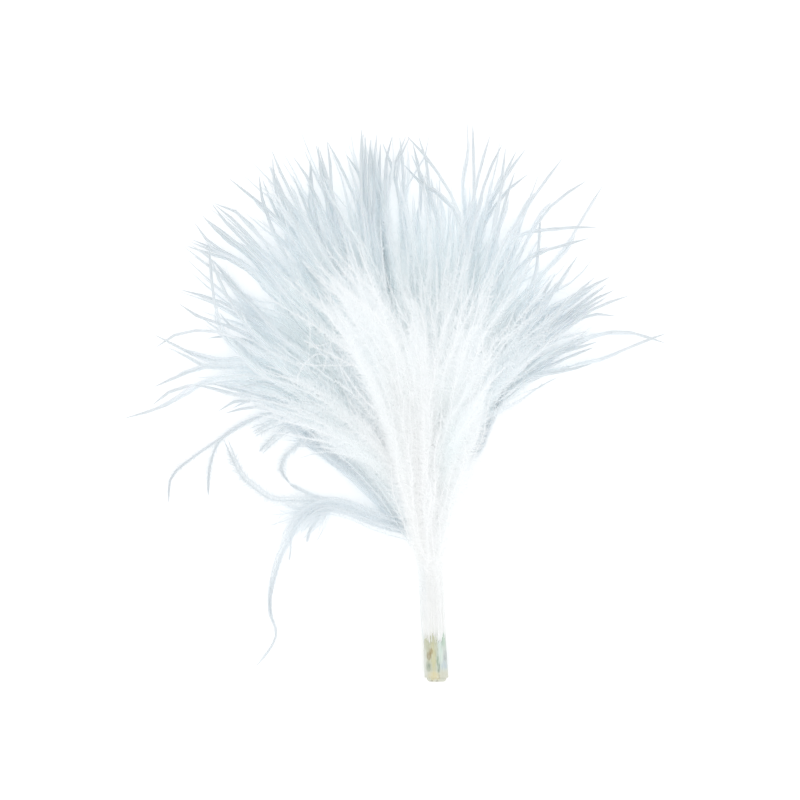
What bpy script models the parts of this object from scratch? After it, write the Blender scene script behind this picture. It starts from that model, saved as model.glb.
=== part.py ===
# Short white ostrich plume, lying on its back. Metres, +Z up, resting on z = 0, its shaft along +Y.
# Places are measured from the middle of the quill's cut end, x to the right and y towards the tips.
# The empty at the end moves the whole feather so that the middle of its footprint is the origin.

import math
import random

import bmesh
import bpy
from mathutils import Vector
from mathutils.geometry import interpolate_bezier

MM = 0.001

# Driving dimensions
FOOTPRINT_CENTRE = Vector((-9.53, 65.63, 0.0)) * MM
THROAT = Vector((-2.8, 38.0, 0.0)) * MM  # where the fan opens out of the stem
QUILL_RADIUS = 2.95 * MM
QUILL_BARE = 10.0 * MM  # quill that shows below the first barbs
SHAFT_LEAN = math.radians(4.1)  # to the left
SHAFT_CLIMB = 0.11  # rise per length above the bare quill
STEM_RADIUS = 2.8 * MM  # barbs pressed round the shaft
STEM_SIDES = 14
FLUTE = 0.06  # grooves between the stem's barbs, as a share of its radius
LOCK_WIDTH = 6.4 * MM
LOCK_THICKNESS = 3.2 * MM
LOCK_RINGS = 7
LOCK_SIDES = 6
PLANED = 0.35 * MM  # how far the underside is pressed flat where it lies on the table
SEED = 11

# Tips of the locks: degrees from straight up the page, left positive, and reach from the throat in mm.
# The rim lies behind and has the longest locks.
RIM_TIPS = (
    (-47, 62), (-44.5, 52), (-42.5, 71), (-38.5, 70), (-35, 64), (-32.5, 76), (-30, 80), (-27.5, 88),
    (-24, 88), (-21.5, 84), (-19, 90), (-15.5, 86), (-12, 91), (-7.2, 94), (-4, 82), (-0.5, 90), (3, 84),
    (6, 91), (9, 93), (13, 88), (16.5, 92), (19.5, 86), (22.3, 94), (25.5, 88), (29, 92), (32.5, 86),
    (36, 89), (40, 86), (44, 82), (48, 79), (52, 72), (56, 77), (60, 66), (64, 72), (67.5, 68),
    (71.2, 74), (67, 50),
)
# The crown lies in front of it. Its gap on the left is the hollow beside the front tuft.
CROWN_TIPS = (
    (-43, 50), (-41, 60), (-37, 62), (-33, 66), (-27, 72), (-21, 74), (-15, 78), (-9, 74), (-3, 78),
    (3, 74), (9, 78), (15, 76), (21, 76), (27, 70), (46, 64), (52, 60), (58, 60), (64, 50), (66, 38),
)
# The front tuft arches highest and ends in the middle of the fan.
TUFT_TIPS = (
    (-28, 48), (-21, 58), (-14, 64), (-7, 60), (0, 64), (7, 60), (14, 66), (20, 62), (25, 54),
)

# Each set: its tips, then in mm the heights of a lock's two bends and tip and how far up chance moves
# them, then its width as a share of LOCK_WIDTH, its fluffiness, a share of LOCK_THICKNESS, the share of its
# length where it starts to narrow, and how far below the throat the outermost locks start. The locks on top
# are as thick as they are wide, and blunt.
LOCK_SETS = (
    (RIM_TIPS, (0.0, 0.3, 0.9), (0.8, 1.6, 5.0), 1.0, 1.0, 0.525, 6.0),
    (CROWN_TIPS, (5.5, 7.5, 5.0), (6.5, 8.0, 11.0), 1.1, 1.3, 0.525, 4.0),
    (TUFT_TIPS, (13.0, 19.0, 14.0), (5.0, 9.0, 10.0), 1.15, 2.3, 0.8, 1.0),
)
LOOSE_NARROWS = 0.525

# Loose locks placed by hand: width as a share of LOCK_WIDTH, then (x, y, z) in mm along it
DROOPING = 0.4, (
    (-3.5, 32.5, 5.0), (-9, 35.4, 4.2), (-14, 38.2, 3.2), (-20.5, 41.6, 2.4), (-27.5, 42.9, 2.2),
    (-31.5, 40.8, 2.1), (-34.2, 35.8, 2), (-36.8, 30.6, 1.8), (-38.8, 24.8, 1.6), (-39.5, 19.3, 1.6),
    (-39.2, 14.8, 1.6), (-38.4, 10.5, 1.6), (-42.8, 3.6, 1.4),
)
UPTURNED = 0.3, (
    (-23, 42.6, 2.4), (-31.5, 42.7, 2.4), (-38.5, 42.8, 2.6), (-42.4, 45.4, 2.8), (-46.4, 49, 2.8),
    (-50, 57, 2.6),
)
TRAILING = 0.3, (
    (-20, 62, 1.8), (-30, 65, 1.8), (-40.5, 63, 2.2), (-50, 57.2, 2.2), (-58, 51.6, 2), (-62.2, 47.6, 1.7),
    (-62.8, 42, 1.4),
)
HANGING = 0.22, (
    (-34, 64.4, 1.8), (-44, 61.5, 2), (-50.5, 56.8, 2), (-52.6, 50.6, 1.7), (-53, 44.5, 1.4),
)
HOOK = 0.22, (
    (-19, 58, 1.8), (-28, 60, 1.8), (-32.5, 55.9, 2), (-36, 53, 2), (-37.2, 49.6, 1.8), (-35, 46.6, 1.6),
)
RIGHT_UPPER = 0.3, (
    (5, 60, 1.8), (14, 70, 1.8), (24, 76, 2.2), (33, 80, 3.2), (41, 82.3, 4.4), (48, 81.6, 5),
    (53.6, 79.2, 5),
)
RIGHT_LOWER = 0.3, (
    (4, 56, 1.8), (14, 66, 1.8), (24, 71.8, 2), (33, 73.6, 2.4), (42, 76.2, 3), (49, 79.2, 3.6),
    (53.8, 81.4, 4),
)
APRON = 0.9, ((-3.5, 31, 5), (-8, 36, 4.4), (-14.5, 42, 3.6), (-22, 50, 3), (-30, 56, 2.4))
LOOSE_LOCKS = (APRON, DROOPING, UPTURNED, TRAILING, HANGING, HOOK, RIGHT_UPPER, RIGHT_LOWER)

# Shaft: distance up it in mm and radius as a share of QUILL_RADIUS
SHAFT = ((0.0, 0.82), (0.5, 0.96), (4.5, 1.0), (10.0, 0.93), (26.0, 0.66), (44.0, 0.44), (60.0, 0.26))
# Stem: distance up it in mm, half width and half depth as shares of STEM_RADIUS
STEM = (
    (9.2, 0.99, 0.99), (11.0, 1.04, 1.04), (22.0, 0.97, 0.97), (31.0, 1.0, 0.98), (37.0, 1.28, 1.12),
    (42.5, 1.9, 1.4), (49.0, 2.6, 1.7), (58.0, 2.4, 1.5), (68.0, 0.7, 0.5),
)


def direction(degrees):
    """Unit vector in the table's plane, degrees to the left of +Y."""
    angle = math.radians(degrees)
    return Vector((-math.sin(angle), math.cos(angle), 0.0))


def shaft_point(along):
    """The shaft's centre line: flat along the bare quill, then climbing into the plume."""
    climb = max(0.0, along - QUILL_BARE) * SHAFT_CLIMB
    return Vector((-math.tan(SHAFT_LEAN) * along, along, QUILL_RADIUS - PLANED + climb))


def add_ring(bm, centre, side, up, half_width, half_depth, count, flute=0.0):
    """A closed loop of vertices round centre, every second one in a groove."""
    made = []
    for corner in range(count):
        angle = 2 * math.pi * (corner + 0.5) / count - math.pi / 2
        reach = 1 + flute * (1 if corner % 2 else -1)
        offset = side * (math.cos(angle) * half_width) + up * (math.sin(angle) * half_depth)
        made.append(bm.verts.new(centre + offset * reach))
    return made


def skin(bm, rings, tip=None):
    """Walls between the rings, a cap on the first, and a cap or a point at the end."""
    count = len(rings[0])
    for lower, upper in zip(rings, rings[1:]):
        for i in range(count):
            j = (i + 1) % count
            bm.faces.new((lower[i], lower[j], upper[j], upper[i]))
    bm.faces.new(list(reversed(rings[0])))
    if tip is None:
        bm.faces.new(rings[-1])
    else:
        point = bm.verts.new(tip)
        for i in range(count):
            bm.faces.new((rings[-1][i], rings[-1][(i + 1) % count], point))


def object_from(name, bm, collection):
    bmesh.ops.triangulate(bm, faces=bm.faces[:])
    bmesh.ops.recalc_face_normals(bm, faces=bm.faces[:])
    mesh = bpy.data.meshes.new(name)
    bm.to_mesh(mesh)
    bm.free()
    made = bpy.data.objects.new(name, mesh)
    collection.objects.link(made)
    return made


def make_shaft(collection):
    bm = bmesh.new()
    rings = []
    for along, share in SHAFT:
        radius = QUILL_RADIUS * share
        centre = shaft_point(along * MM)
        rings.append(add_ring(bm, centre, Vector((1, 0, 0)), Vector((0, 0, 1)), radius, radius, 16))
    skin(bm, rings)
    return object_from("feather", bm, collection)


def make_stem(collection):
    bm = bmesh.new()
    rings = []
    for along, width, depth in STEM:
        half_width, half_depth = STEM_RADIUS * width, STEM_RADIUS * depth
        centre = shaft_point(along * MM)
        side, up = Vector((1, 0, 0)), Vector((0, 0, 1))
        rings.append(add_ring(bm, centre, side, up, half_width, half_depth, STEM_SIDES, FLUTE))
    skin(bm, rings)
    return object_from("stem", bm, collection)


def resampled(points, count):
    """count points evenly spread along the line through points."""
    lengths = [(b - a).length for a, b in zip(points, points[1:])]
    made = []
    for i in range(count):
        left = sum(lengths) * i / (count - 1)
        k = 0
        while k < len(lengths) - 1 and left > lengths[k]:
            left -= lengths[k]
            k += 1
        made.append(points[k].lerp(points[k + 1], min(1.0, left / lengths[k])))
    return made


def fan_route(angle, reach, heights, drop, chance):
    """A lock leaves the shaft steeply, then bends outwards to its tip."""
    start = shaft_point(THROAT.y - drop * abs(angle) / 70 + chance.uniform(0, 5) * MM)
    tip = THROAT + direction(angle) * reach
    span = (tip - start).length
    steepness = 0.46 if angle > 0 else 0.28  # the right side hugs the shaft for longer
    first = start + direction(steepness * angle + chance.uniform(-3, 3)) * (0.45 * span)
    second = tip - direction(1.42 * angle + chance.uniform(-12, 12)) * (0.33 * span)
    first.z, second.z, tip.z = (height * MM for height in heights)
    return [Vector(point) for point in interpolate_bezier(start, first, second, tip, 24)]


def smooth_route(points_mm):
    """A rounded line through points placed by hand."""
    points = [Vector(point) * MM for point in points_mm]
    ends = [points[0]] + points + [points[-1]]
    made = []
    for before, start, end, after in zip(ends, ends[1:], ends[2:], ends[3:]):
        first = start + (end - before) / 6
        second = end - (after - start) / 6
        made += [Vector(point) for point in interpolate_bezier(start, first, second, end, 6)[:-1]]
    return made + [points[-1]]


def girth(share, narrows):
    """A lock's width along it: slim at the root, full in the middle, then drawn out to the tip."""
    swelling = min(1.0, 0.4 + 1.5 * share)
    drawn = min(1.0, (1.025 - share) / (1.025 - narrows))
    return swelling * drawn


def make_lock(name, route, width, fluffiness, narrows, rings_along, collection):
    points = resampled(route, rings_along + 1)
    bm = bmesh.new()
    rings = []
    for i in range(rings_along):
        along = (points[i + 1] - points[max(0, i - 1)]).normalized()
        side = along.cross(Vector((0, 0, 1))).normalized()
        up = side.cross(along)
        size = girth(i / rings_along, narrows) * width / 2
        half_width, half_depth = size * LOCK_WIDTH, size * LOCK_THICKNESS * fluffiness
        rings.append(add_ring(bm, points[i], side, up, half_width, half_depth, LOCK_SIDES))
    skin(bm, rings, points[-1])
    return object_from(name, bm, collection)


def make_table(collection):
    """The block below z = 0 that presses the underside flat."""
    bm = bmesh.new()
    bmesh.ops.create_cube(bm, size=1.0)
    bmesh.ops.scale(bm, verts=bm.verts, vec=(0.3, 0.3, 0.04))
    bmesh.ops.translate(bm, verts=bm.verts, vec=(0.0, 0.065, -0.02))
    return object_from("table", bm, collection)


def make_material():
    material = bpy.data.materials.new("plume_white")
    material.use_nodes = True
    shader = material.node_tree.nodes["Principled BSDF"]
    shader.inputs["Base Color"].default_value = (0.86, 0.89, 0.9, 1.0)
    shader.inputs["Roughness"].default_value = 0.85
    shader.inputs["Metallic"].default_value = 0.0
    return material


def main():
    for old in list(bpy.data.objects):
        bpy.data.objects.remove(old)
    chance = random.Random(SEED)
    scene = bpy.context.scene.collection
    helpers = bpy.data.collections.new("helpers")
    growing = bpy.data.collections.new("growing")
    scene.children.link(helpers)
    helpers.children.link(growing)
    helpers.hide_render = True

    feather = make_shaft(scene)
    make_stem(growing)
    for tips, lowest, spread, width, fluffiness, narrows, drop in LOCK_SETS:
        for angle, reach in tips:
            lift = chance.random()
            heights = [low + more * lift for low, more in zip(lowest, spread)]
            route = fan_route(angle, reach * MM, heights, drop * MM, chance)
            full_width = width * chance.uniform(0.85, 1.1)
            make_lock("lock", route, full_width, fluffiness, narrows, LOCK_RINGS, growing)
    for width, points in LOOSE_LOCKS:
        rings_along = 2 * len(points) - 3
        make_lock("loose_lock", smooth_route(points), width, 1.0, LOOSE_NARROWS, rings_along, growing)
    table = make_table(helpers)

    fuse = feather.modifiers.new("fuse", "BOOLEAN")
    fuse.operation = "UNION"
    fuse.operand_type = "COLLECTION"
    fuse.collection = growing
    fuse.solver = "MANIFOLD"  # EXACT leaves edges open where many locks cross
    press = feather.modifiers.new("press", "BOOLEAN")
    press.operation = "DIFFERENCE"
    press.object = table
    press.solver = "MANIFOLD"

    centre = bpy.data.objects.new("footprint_centre", None)
    scene.objects.link(centre)
    centre.location = -FOOTPRINT_CENTRE
    feather.parent = centre
    for helper in list(growing.objects) + [table]:
        helper.parent = centre
        helper.hide_render = True
        helper.display_type = "WIRE"
    feather.data.materials.append(make_material())


main()
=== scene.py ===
import math
import random

import bpy
import numpy as np
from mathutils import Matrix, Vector
from mathutils.geometry import interpolate_bezier


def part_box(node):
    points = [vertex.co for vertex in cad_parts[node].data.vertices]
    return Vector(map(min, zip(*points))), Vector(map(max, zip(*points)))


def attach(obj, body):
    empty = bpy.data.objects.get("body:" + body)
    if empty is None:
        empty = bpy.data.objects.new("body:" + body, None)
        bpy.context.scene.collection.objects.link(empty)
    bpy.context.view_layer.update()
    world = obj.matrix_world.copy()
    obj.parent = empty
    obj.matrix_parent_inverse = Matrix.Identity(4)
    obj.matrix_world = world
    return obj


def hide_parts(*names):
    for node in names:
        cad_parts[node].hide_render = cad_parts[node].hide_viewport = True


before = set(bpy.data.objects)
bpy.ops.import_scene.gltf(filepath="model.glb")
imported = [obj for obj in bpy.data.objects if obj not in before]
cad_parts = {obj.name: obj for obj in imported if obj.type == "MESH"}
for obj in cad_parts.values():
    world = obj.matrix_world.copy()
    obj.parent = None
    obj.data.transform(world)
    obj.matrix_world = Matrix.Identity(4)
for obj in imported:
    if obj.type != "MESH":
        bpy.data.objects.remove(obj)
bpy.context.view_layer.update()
bpy.ops.object.select_all(action="DESELECT")
print("frame in place")

mm = 0.001
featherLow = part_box("feather")[0]
cutRing = [v.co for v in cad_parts["feather"].data.vertices if v.co.y < featherLow.y + 0.1 * mm]
# the middle of the quill's cut end, on the table: every place below is measured from it
cutEnd = Vector((sum(point.x for point in cutRing) / len(cutRing), featherLow.y, featherLow.z))

shaft = {
    "radius": 2.95 * mm,
    "height": 2.6 * mm,  # of its middle above the table
    "lean": math.radians(3.2),  # to the left
    "bare": 10 * mm,  # quill that shows below the first barbs
    "climb": 0.11,  # rise above the bare quill
}


def shaftPoint(along):
    climb = max(0.0, along - shaft["bare"]) * shaft["climb"]
    return Vector((-math.tan(shaft["lean"]) * along, along, shaft["height"] + climb))


def declare(piece):
    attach(piece, "root")
    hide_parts("feather")


# materials

class Wire:  # a socket that can stand in a sum
    def __init__(self, recipe, socket):
        self.recipe = recipe
        self.socket = socket

    def maths(self, operation, *values):
        return self.recipe.add("ShaderNodeMath", {"operation": operation}, values)

    def __add__(self, other):
        return self.maths("ADD", self, other)

    def __sub__(self, other):
        return self.maths("SUBTRACT", self, other)

    def __mul__(self, other):
        return self.maths("MULTIPLY", self, other)

    def __truediv__(self, other):
        return self.maths("DIVIDE", self, other)


class Recipe:  # the nodes of one material
    def __init__(self, name, roughness, specular):
        self.material = bpy.data.materials.new(name)
        self.material.use_nodes = True
        self.tree = self.material.node_tree
        self.shader = self.tree.nodes["Principled BSDF"]
        self.shader.inputs["Roughness"].default_value = roughness
        self.shader.inputs["Specular IOR Level"].default_value = specular

    def add(self, kind, settings=None, inputs=(), output=0):
        node = self.tree.nodes.new(kind)
        for key, value in (settings or {}).items():
            if key == "stops":
                self.fillRamp(node.color_ramp.elements, value)
            else:
                setattr(node, key, value)
        named = inputs.items() if isinstance(inputs, dict) else enumerate(inputs)
        for key, value in named:
            self.feed(node.inputs[key], value)
        return Wire(self, node.outputs[output])

    def fillRamp(self, elements, stops):
        while len(elements) < len(stops):
            elements.new(0.5)
        for element, (place, colour) in zip(elements, stops):
            element.position = place
            element.color = (*colour, 1)

    def feed(self, socket, value):
        if isinstance(value, Wire):
            self.tree.links.new(value.socket, socket)
        else:
            socket.default_value = value

    def paint(self, name, value):
        self.feed(self.shader.inputs[name], value)

    def ramp(self, factor, stops):
        return self.add("ShaderNodeValToRGB", {"stops": stops}, {"Fac": factor})

    def mix(self, factor, first, second):
        pair = [value if isinstance(value, Wire) else (*value, 1) for value in (first, second)]
        return self.add("ShaderNodeMix", {"data_type": "RGBA"}, {0: factor, 6: pair[0], 7: pair[1]}, output=2)

    def smooth(self, value, start, end):  # 0 before start, 1 after end
        settings = {"interpolation_type": "SMOOTHSTEP"}
        return self.add("ShaderNodeMapRange", settings, {0: value, 1: start, 2: end})

    def part(self, vector, axis):  # 0 is across, 1 is up
        return self.add("ShaderNodeSeparateXYZ", None, {0: vector}, output=axis)


down = {
    # painted light and shade, from root to tip: white on barbs that catch the light, grey on barbs deep in
    # the plume, greyer toward the thin tips
    "bright": (
        (0.0, (0.9978, 0.9975, 0.994)), (0.3, (0.9988, 0.9988, 0.998)), (0.65, (0.995, 0.996, 0.996)),
        (1.0, (0.974, 0.984, 0.988)),
    ),
    "deep": (
        (0.0, (0.994, 0.994, 0.991)), (0.25, (0.985, 0.991, 0.991)), (0.45, (0.972, 0.987, 0.988)),
        (0.72, (0.969, 0.982, 0.986)), (0.84, (0.941, 0.957, 0.966)), (0.93, (0.855, 0.881, 0.893)),
        (1.0, (0.74, 0.775, 0.79)),
    ),
    "roughness": 0.85,
    "specular": 0.0,
    "through": 0.5,  # share of the light that passes through a barbule
}


def makeDown():
    recipe = Recipe("down", down["roughness"], down["specular"])
    place = recipe.add("ShaderNodeUVMap", {"uv_map": "OFBake"})
    along = recipe.part(place, 0)
    tone = recipe.part(place, 1)
    # painted light and shade: the map's second axis (tone) mixes the shaded grey and the lit white, and its
    # first greys the tips
    colour = recipe.mix(tone, recipe.ramp(along, down["deep"]), recipe.ramp(along, down["bright"]))
    recipe.paint("Base Color", colour)
    glow = recipe.add("ShaderNodeBsdfTranslucent", None, {"Color": colour})
    face = Wire(recipe, recipe.shader.outputs["BSDF"])
    both = recipe.add("ShaderNodeMixShader", None, {0: down["through"], 1: face, 2: glow})
    recipe.feed(recipe.tree.nodes["Material Output"].inputs["Surface"], both)
    return recipe.material


horn = {  # quill and sheath, with places in mm from the middle of the cut end
    "olive": (0.54, 0.55, 0.4), "pale": (0.6, 0.66, 0.61),
    "split": (0.1, 1),  # across, where olive turns pale
    "band": (0.63, 0.63, 0.52), "bandTop": (2, 3.2),
    "roughness": 0.45, "specular": 0.4,
    # stains and one patch of painted shade: across, up, half width, half height, colour
    "stainsAndShade": (
        (-2.7, 5.0, 0.7, 4.0, (0.74, 0.76, 0.72)), (-0.5, 6.0, 0.5, 3.6, (0.62, 0.6, 0.36)),
        (-1.45, 6.1, 0.5, 0.9, (0.3, 0.22, 0.1)), (-1.0, 7.2, 0.45, 0.9, (0.36, 0.27, 0.12)),
        # on the next line the second patch, long and dark grey-green, is painted shade in a recess of the
        # quill
        (-1.75, 3.6, 0.6, 1.1, (0.26, 0.32, 0.25)), (0.55, 4.4, 0.34, 2.6, (0.33, 0.43, 0.33)),
        (2.3, 6.0, 0.4, 1.3, (0.36, 0.4, 0.42)), (2.0, 4.0, 0.9, 0.9, (0.5, 0.58, 0.62)),
        (1.3, 6.6, 0.45, 2.4, (0.7, 0.82, 0.74)), (2.1, 10.2, 0.4, 2.2, (0.45, 0.6, 0.47)),
        (-0.5, 1.3, 1.3, 1.0, (0.7, 0.62, 0.36)), (-1.2, 0.0, 0.3, 0.4, (0.3, 0.27, 0.18)),
        (0.0, 0.1, 0.3, 0.4, (0.3, 0.27, 0.2)),
    ),
    "blend": 0.8, "rough": 3.4, "edge": (1.9, -0.2),  # how strong, ragged and soft the stains and the painted shade are
    "grain": {"Scale": 3500, "Detail": 3}, "stretch": (1, 0.2, 1), "waver": 2,
    "dust": (0.8, 0.82, 0.72), "dustFrom": (0.35, 0.7), "dusty": 0.25,
    "bump": {"Strength": 0.3, "Distance": 0.1 * mm},
}


def makeHorn():
    recipe = Recipe("horn", horn["roughness"], horn["specular"])
    spot = recipe.add("ShaderNodeTexCoord", output=3)
    across = (recipe.part(spot, 0) - cutEnd.x) * 1000  # in mm
    up = (recipe.part(spot, 1) - cutEnd.y) * 1000
    across = across + up * math.tan(shaft["lean"])
    stretched = recipe.add("ShaderNodeMapping", None, {"Vector": spot, "Scale": horn["stretch"]})
    grain = recipe.add("ShaderNodeTexNoise", None, {"Vector": stretched, **horn["grain"]})
    stray = grain - 0.5
    share = recipe.smooth(across + stray * horn["waver"], *horn["split"])
    colour = recipe.mix(share, horn["olive"], horn["pale"])
    share = recipe.smooth(up + stray * horn["waver"], *horn["bandTop"])
    colour = recipe.mix(share, horn["band"], colour)
    # the stains, and one patch of painted shade in a recess
    for x, y, wide, high, tone in horn["stainsAndShade"]:
        away = (across - x) * (across - x) / wide**2 + (up - y) * (up - y) / high**2
        share = recipe.smooth(away + stray * horn["rough"], *horn["edge"]) * horn["blend"]
        colour = recipe.mix(share, colour, tone)
    colour = recipe.mix(recipe.smooth(grain, *horn["dustFrom"]) * horn["dusty"], colour, horn["dust"])
    recipe.paint("Base Color", colour)
    recipe.paint("Normal", recipe.add("ShaderNodeBump", None, {"Height": grain, **horn["bump"]}))
    return recipe.material


downMaterial = makeDown()
hornMaterial = makeHorn()
print("materials made")


# quill and sheath

quill = {
    # distance from the cut end in mm, share of the shaft's radius
    "rings": (
        (0, 0.64), (0.35, 0.76), (1.5, 0.85), (4.5, 0.9), (10, 0.86), (26, 0.66), (44, 0.44), (60, 0.26),
    ),
    "sides": 48,
    "wall": 0.5 * mm, "hollow": 0.8 * mm,  # of the cut end
    "clearance": 0.05 * mm,  # above the table
    "smooth": math.radians(40),
    "weld": 0.001 * mm,
}


def named(name):
    # the piece just added
    piece = bpy.context.object
    piece.name = name
    bpy.ops.object.transform_apply(location=True, rotation=True, scale=True)
    return piece


def cut(point, normal, fill=False):
    # takes away what lies behind the plane
    bpy.ops.mesh.select_all(action="SELECT")
    bpy.ops.mesh.bisect(
        plane_co=point, plane_no=normal, use_fill=fill, clear_inner=True, threshold=quill["weld"])


def settle(piece):
    # the finished piece, with smooth faces
    bpy.ops.object.mode_set(mode="OBJECT")
    bpy.ops.object.shade_smooth_by_angle(angle=quill["smooth"])
    piece.data.materials.append(hornMaterial)
    declare(piece)


def growQuill():
    radius = shaft["radius"]
    here, share = quill["rings"][0]
    bpy.ops.mesh.primitive_circle_add(
        vertices=quill["sides"], radius=radius * share, fill_type="NGON",
        location=cutEnd + shaftPoint(0), rotation=(math.pi / 2, 0, 0))
    piece = named("quill")
    bpy.ops.object.mode_set(mode="EDIT")
    bpy.ops.mesh.select_all(action="SELECT")
    for nextOne, nextShare in quill["rings"][1:]:
        step = shaftPoint(nextOne * mm) - shaftPoint(here * mm)
        bpy.ops.mesh.extrude_region_move(TRANSFORM_OT_translate={"value": step})
        middle, slimmer = cutEnd + shaftPoint(nextOne * mm), nextShare / share
        bpy.ops.transform.resize(value=(slimmer, 1, slimmer), center_override=middle)
        here, share = nextOne, nextShare
    bpy.ops.mesh.select_all(action="SELECT")
    bpy.ops.mesh.normals_make_consistent(inside=False)
    bpy.ops.mesh.select_all(action="DESELECT")
    bpy.ops.mesh.select_mode(type="FACE")
    bpy.ops.object.mode_set(mode="OBJECT")
    end = min(piece.data.polygons, key=lambda face: face.center.y)
    end.select = True
    bpy.ops.object.mode_set(mode="EDIT")
    bpy.ops.mesh.inset(thickness=quill["wall"])
    bpy.ops.mesh.extrude_region_move(TRANSFORM_OT_translate={"value": (0, quill["hollow"], 0)})
    cut((0, 0, cutEnd.z + quill["clearance"]), (0, 0, 1), fill=True)
    settle(piece)


sheath = {
    "length": 13 * mm, "radius": 2.68 * mm, "thickness": 0.14 * mm, "slimmer": 0.93,
    "from": 0.9 * mm,  # the cut end
    "under": 0.5,  # share of the shaft's height at which it ends
    # each tongue: the corners of its edge from lower left over its point to lower right, in mm
    "tongues": {
        "oliveTongue": ((-3.0, 6.9), (-0.5, 9.4), (0.6, 2.2)),
        "greenTongue": ((0.7, 2.6), (2.2, 12.2), (3.2, 7.0)),
    },
}


def growTongue(name, corners):
    length = sheath["length"]
    bpy.ops.mesh.primitive_cylinder_add(
        vertices=quill["sides"], radius=sheath["radius"], depth=length, end_fill_type="NOTHING",
        location=cutEnd + shaftPoint(0) + Vector((0, length / 2, 0)), rotation=(math.pi / 2, 0, 0))
    piece = named(name)
    bpy.ops.object.mode_set(mode="EDIT")
    bpy.ops.mesh.select_mode(type="VERT")
    bpy.ops.mesh.select_all(action="DESELECT")
    bpy.ops.object.mode_set(mode="OBJECT")
    for point in piece.data.vertices:
        point.select = point.co.y > cutEnd.y + length / 2
    bpy.ops.object.mode_set(mode="EDIT")
    far = cutEnd + shaftPoint(length)
    bpy.ops.transform.translate(value=(shaftPoint(length).x, 0, 0))
    bpy.ops.transform.resize(value=(sheath["slimmer"], 1, sheath["slimmer"]), center_override=far)
    cut((0, 0, cutEnd.z + sheath["under"] * shaft["height"]), (0, 0, 1))
    cut(cutEnd + Vector((0, sheath["from"], 0)), (0, 1, 0))
    lean = math.tan(shaft["lean"])
    spots = [cutEnd + Vector((x - lean * y, y, 0)) * mm for x, y in corners]
    for first, second in zip(spots, spots[1:]):
        edge = (second - first).normalized()
        cut(first, (edge.y, -edge.x, 0))
    bpy.ops.object.mode_set(mode="OBJECT")
    bpy.ops.object.modifier_add(type="SOLIDIFY")
    piece.modifiers[-1].thickness = sheath["thickness"]
    piece.modifiers[-1].offset = 1
    bpy.ops.object.modifier_apply(modifier=piece.modifiers[-1].name)
    settle(piece)


growQuill()
for name, corners in sheath["tongues"].items():
    growTongue(name, corners)
print("quill and sheath made")


# barbs

barb = {
    "corners": 3,  # round the shaft
    "steps": 20,  # along it
    "samples": 40,  # points of its route
    "point": 0.2,  # share of the radius that is left at the tip
    "toneStep": 0.02,  # from one side of the shaft to the next
    "curlFrom": 9 * mm, "curlTo": 18 * mm,  # length of a barb's small waves
    "clearance": 0.1 * mm,  # above the table
}
barbules = {
    "width": 0.19 * mm, "reach": (0.6, 1.15), "stray": 9, "toneSpread": 0.04,
    "least": 0.15, "leastSweep": 0.35,  # shares of size and sweep that one at the tip keeps
    "alongMap": (-0.004, 0.004, 0.012), "acrossMap": (0, 0, 0.03),  # of its corners
}
floss = {  # curly hairs that make the plume look like cotton
    "spacing": 2.2 * mm, "reach": 4.2 * mm, "width": 0.13 * mm, "sweep": 45, "bend": 60,
    "from": 0.25, "to": 0.95, "roll": (-0.3, 0.9), "longer": (0.5, 1.3),
    "alongMap": (-0.01, -0.006, 0.006, 0.01, 0.02), "acrossMap": (-0.01, 0.01, -0.01, 0.01, 0.02),
}


def unit(vectors):
    return vectors / np.maximum(np.linalg.norm(vectors, axis=-1, keepdims=True), 1e-12)


def lengthAlong(line):
    steps = np.linalg.norm(np.diff(line, axis=0), axis=1)
    return np.concatenate(([0.0], np.cumsum(steps)))


def between(wanted, places, values):
    return np.stack([np.interp(wanted, places, values[:, k]) for k in range(3)], 1)


def evenly(line, count):
    along = lengthAlong(line)
    return between(np.linspace(0, along[-1], count), along, line)


def readAt(values, shares):
    return between(shares, np.linspace(0, 1, len(values)), values)


def stretch(line, start, end):  # from one share of the line to another
    return readAt(line, np.linspace(start, end, barb["samples"]))


def soften(line, times):
    for _ in range(times):
        line = np.concatenate([line[:1], (line[:-2] + 2 * line[1:-1] + line[2:]) / 4, line[-1:]])
    return line


def frameAlong(line):
    ahead = unit(np.gradient(line, axis=0))
    side = unit(np.cross(ahead, (0.0, 0.0, 1.0)))
    return ahead, side, np.cross(side, ahead)


def frameAt(line, shares):
    return [unit(readAt(vectors, shares)) for vectors in frameAlong(line)]


def swung(start, towards, angle):
    return start * np.cos(angle)[:, None] + towards * np.sin(angle)[:, None]


def aboveTable(points, gap):
    points[:, 2] = np.maximum(points[:, 2], cutEnd.z + gap)
    return points


class Bundle:  # many barbs that become one mesh
    def __init__(self, name):
        self.name = name
        self.points = []
        self.faces = []
        self.places = []
        self.count = 0

    def put(self, points, faces, along, across):
        self.points.append(points)
        self.faces.append(faces + self.count)
        self.places.append(np.stack([along, across], 1))
        self.count += len(points)


def shadeAt(look, shares):
    # how far out in the plume: the material goes from white at 0 to grey at 1, painted shade that grows
    # toward the thin outer barbs
    return np.interp(shares, look.get("shadeFrom", (0, 1)), look["shade"])


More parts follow.
